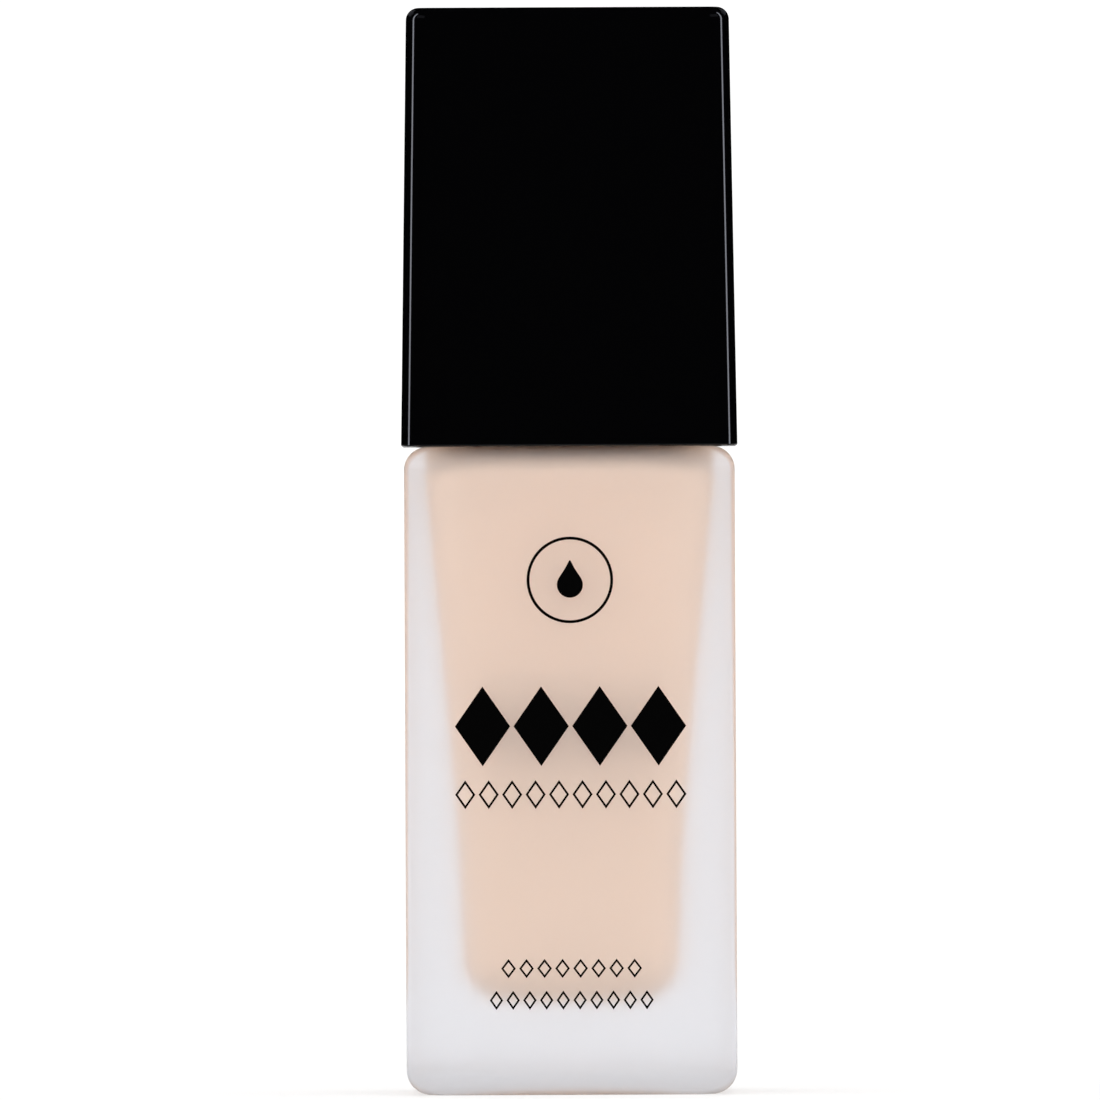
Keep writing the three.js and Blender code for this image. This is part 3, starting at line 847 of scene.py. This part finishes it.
def drop(x, z, radius, steps=48):
    """A water drop: a circle below, drawn out and narrowed to a point above."""
    sharpness, narrowing, lengthening = 6, 0.55, 0.9
    points = []
    for i in range(steps):
        angle = 2 * math.pi * i / steps
        pull = max(0.0, math.sin(angle)) ** sharpness
        across = radius * math.cos(angle) * (1 - narrowing * pull)
        up = radius * (math.sin(angle) + lengthening * pull)
        points.append((x + across, z + up))
    return points


def printed_front(ink):
    """A ring with a drop in it, and four rows of diamonds."""
    ring_centre, ring_radius, ring_line = 53.6, 4.5, 0.3
    drop_centre, drop_radius = ring_centre - 0.5, 1.35
    emblem = [
        [circle(0, ring_centre, ring_radius), circle(0, ring_centre, ring_radius - ring_line)],
        [drop(0, drop_centre, drop_radius)],
    ]
    pieces = [
        ink_piece("print_emblem", emblem),
        diamond_row("print_bold_row", z=38.4, count=4, width=24.4, height=8.3),
        diamond_row("print_fine_row", z=31.3, count=10, width=24.4, height=3.0, line=0.22),
        diamond_row("print_small_row_upper", z=13.2, count=8, width=15.0, height=2.0, line=0.2),
        diamond_row("print_small_row_lower", z=9.9, count=10, width=17.4, height=2.0, line=0.2),
    ]
    for piece in pieces:
        dress(piece, ink, "gloss_black", "bottle")
        # Most rays that come through the glass pass the ink by, so that the back shows little of it
        piece.visible_transmission = piece.visible_glossy = False


# ---- Camera, light and floor: metres, but for FLOOR_HALF, and degrees ----

VIEW_DISTANCE = 3.0
VIEW_SIDE = -0.00205
VIEW_LEVEL = 0.05672
VIEW_HEIGHT = 0.1144
VIEW_ROLL = 0.26
SENSOR_WIDTH = 36

SOFT_LIGHT = 1.34
MIRRORED_LIGHT = 0.0015
THROUGH_LIGHT = 0.68
BACKDROP_LIGHT = 1.1
COOL_WHITE = (0.85, 0.88, 1.0)
WHITE = (1, 1, 1)

FLOOR_HALF = 6000
PAPER_GREY = 0.4
PAPER_GLOW = 0.5
DARKEST = 0.85
DARK_REACH = 0.9


def camera():
    """Level with the middle of the object and a little to one side, and turned a little about its own axis.

    VIEW_HEIGHT is how much of the front face's plane the picture spans.
    """
    data = bpy.data.cameras.new("camera")
    data.sensor_width = SENSOR_WIDTH
    data.lens = SENSOR_WIDTH * (VIEW_DISTANCE - BODY_HALF * MM) / VIEW_HEIGHT
    data.clip_end = 50
    obj = bpy.data.objects.new("camera", data)
    obj.location = (VIEW_SIDE, -VIEW_DISTANCE, VIEW_LEVEL)
    obj.rotation_euler = (math.pi / 2, 0, 0)
    obj.rotation_euler.rotate_axis("Z", math.radians(-VIEW_ROLL))
    bpy.context.scene.collection.objects.link(obj)
    bpy.context.scene.camera = obj


def area_light(name, place, target, width, height, power, glossy_only=False):
    """A rectangle of light, which either shows only in reflections or lights without showing in them."""
    data = bpy.data.lights.new(name, "AREA")
    data.color = COOL_WHITE if glossy_only else WHITE
    data.shape = "RECTANGLE"
    data.size = width
    data.size_y = height
    data.energy = power
    obj = bpy.data.objects.new(name, data)
    obj.location = place
    obj.rotation_euler = (Vector(target) - Vector(place)).to_track_quat("-Z", "Y").to_euler()
    obj.visible_camera = False
    obj.visible_diffuse = obj.visible_transmission = not glossy_only
    obj.visible_glossy = glossy_only
    bpy.context.scene.collection.objects.link(obj)


def around(azimuth, distance, height):
    """The place that far out and that high, at that many degrees from the front."""
    angle = math.radians(azimuth)
    return (distance * math.sin(angle), -distance * math.cos(angle), height)


def lights():
    """Two narrow strips that draw the cap's edges, four high soft boxes, and a broad light in front."""
    middle, strip_azimuth = 0.25, 82
    for side in (-1, 1):
        place = around(side * strip_azimuth, distance=0.6, height=middle)
        area_light(f"strip_{side}", place, (0, 0, middle), 0.09, 1.1, power=1.9, glossy_only=True)
    for azimuth in (45, 135, 225, 315):
        place = around(azimuth, distance=1.1, height=0.75)
        area_light(f"high_{azimuth}", place, (0, 0, middle), 0.9, 0.5, power=0.28, glossy_only=True)
    area_light("front", (0, -1.3, middle), (0, 0, 0.04), 1.6, 1.2, power=8.0)


def world():
    """White to the camera and through glass, dark to mirror reflections, soft for everything else."""
    scene = bpy.context.scene
    scene.world = bpy.data.worlds.new("studio")
    scene.world.use_nodes = True
    scene.world.cycles.sampling_method = "NONE"
    nodes, links = scene.world.node_tree.nodes, scene.world.node_tree.links
    nodes.clear()
    path = nodes.new("ShaderNodeLightPath")
    output = nodes.new("ShaderNodeOutputWorld")

    def background(strength):
        node = nodes.new("ShaderNodeBackground")
        node.inputs["Color"].default_value = (1, 1, 1, 1)
        node.inputs["Strength"].default_value = strength
        return node.outputs["Background"]

    def mix(kind_of_ray, otherwise, seen):
        node = nodes.new("ShaderNodeMixShader")
        links.new(path.outputs[kind_of_ray], node.inputs["Fac"])
        links.new(otherwise, node.inputs[1])
        links.new(seen, node.inputs[2])
        return node.outputs["Shader"]

    sky = mix("Is Transmission Ray", background(MIRRORED_LIGHT), background(THROUGH_LIGHT))
    sky = mix("Diffuse Depth", sky, background(SOFT_LIGHT))
    sky = mix("Is Camera Ray", sky, background(BACKDROP_LIGHT))
    links.new(sky, output.inputs["Surface"])


def floor_material():
    """White paper. Mirror reflections see it darker near the bottle, so that gloss black stays black."""
    material = bpy.data.materials.new("floor_white")
    material.use_nodes = True
    nodes, links = material.node_tree.nodes, material.node_tree.links
    paper = nodes["Principled BSDF"]
    paper.inputs["Base Color"].default_value = (PAPER_GREY, PAPER_GREY, PAPER_GREY, 1)
    paper.inputs["Specular IOR Level"].default_value = 0
    paper.inputs["Emission Color"].default_value = (1, 1, 1, 1)
    paper.inputs["Emission Strength"].default_value = PAPER_GLOW
    dark = nodes.new("ShaderNodeBsdfDiffuse")
    dark.inputs["Color"].default_value = (0, 0, 0, 1)
    place = nodes.new("ShaderNodeTexCoord")
    distance = nodes.new("ShaderNodeVectorMath")
    distance.operation = "LENGTH"
    links.new(place.outputs["Object"], distance.inputs[0])
    nearness = nodes.new("ShaderNodeMapRange")
    nearness.inputs["From Max"].default_value = DARK_REACH
    nearness.inputs["To Min"].default_value = DARKEST
    nearness.inputs["To Max"].default_value = 0
    links.new(distance.outputs["Value"], nearness.inputs["Value"])
    path = nodes.new("ShaderNodeLightPath")
    mirrored = nodes.new("ShaderNodeMath")
    mirrored.operation = "SUBTRACT"
    links.new(path.outputs["Is Glossy Ray"], mirrored.inputs[0])
    links.new(path.outputs["Is Transmission Ray"], mirrored.inputs[1])
    darkness = nodes.new("ShaderNodeMath")
    darkness.operation = "MULTIPLY"
    darkness.use_clamp = True
    links.new(mirrored.outputs["Value"], darkness.inputs[0])
    links.new(nearness.outputs["Result"], darkness.inputs[1])
    mix = nodes.new("ShaderNodeMixShader")
    links.new(darkness.outputs["Value"], mix.inputs["Fac"])
    links.new(paper.outputs["BSDF"], mix.inputs[1])
    links.new(dark.outputs["BSDF"], mix.inputs[2])
    links.new(mix.outputs["Shader"], nodes["Material Output"].inputs["Surface"])
    return material


def floor():
    """A wide pale floor under the bottle."""
    corners = ((-1, -1), (1, -1), (1, 1), (-1, 1))
    points = [Vector((x * FLOOR_HALF, y * FLOOR_HALF, 0)) for x, y in corners]
    obj = object_from("floor", points, [(0, 1, 2, 3)])
    obj.data.materials.append(floor_material())


def light_paths():
    """Light turns many times in thick glass before it leaves."""
    cycles = bpy.context.scene.cycles
    cycles.max_bounces = 32
    cycles.glossy_bounces = 24
    cycles.transmission_bounces = 32
    cycles.diffuse_bounces = 8


# ---- Assembly ----


def dress_frame(materials, slots):
    """Every CAD node gets its slot's material, so that the hidden pieces are finished too."""
    for node, slot in slots.items():
        mesh = NODES[node].data
        mesh.materials.clear()
        mesh.materials.append(materials[slot])


def main():
    materials = {
        "frosted_glass": frosted_glass(),
        "foundation": foundation_cream(),
        "label_paper": label_paper(),
        "gloss_black": gloss_black(),
        "satin_black": satin_black(),
        "natural_plastic": natural_plastic(),
        "piston_plastic": piston_plastic(),
        "tube_plastic": tube_plastic(),
        "elastomer": seal_elastomer(),
        "steel": stainless_steel(),
    }
    slots = {entry["node"]: entry["material_slot"] for entry in frame["record"]["subparts"]}
    dress_frame(materials, slots)
    dress(glass_bottle(), materials["frosted_glass"], "frosted_glass", "bottle", "glass_bottle")
    dress(liquid(), materials["foundation"], "foundation", "bottle", "foundation_liquid")
    dress(overcap(), materials["gloss_black"], "gloss_black", "overcap", "overcap_shell")
    dress(closure_sleeve(), materials["gloss_black"], "gloss_black", "closure", "closure_sleeve")
    dress(actuator_cup(), materials["gloss_black"], "gloss_black", "actuator", "actuator_shell")
    dress(spout(), materials["gloss_black"], "gloss_black", "actuator", "actuator_shell")
    dress(nozzle(), materials["satin_black"], "satin_black", "actuator", "nozzle_insert")
    for node, body in TURNED_NODES.items():
        slot = slots[node]
        dress(turned(node), materials[slot], slot, body, node)
    dress(valve_ball(), materials["steel"], "steel", "inlet_ball", "inlet_ball")
    spring = return_spring()
    dress(spring, materials["steel"], "steel", "pump", "return_spring")
    press_spring(spring)
    printed_front(printing_ink())
    bpy.context.scene.view_settings.view_transform = "Standard"
    camera()
    lights()
    world()
    floor()
    light_paths()


main()
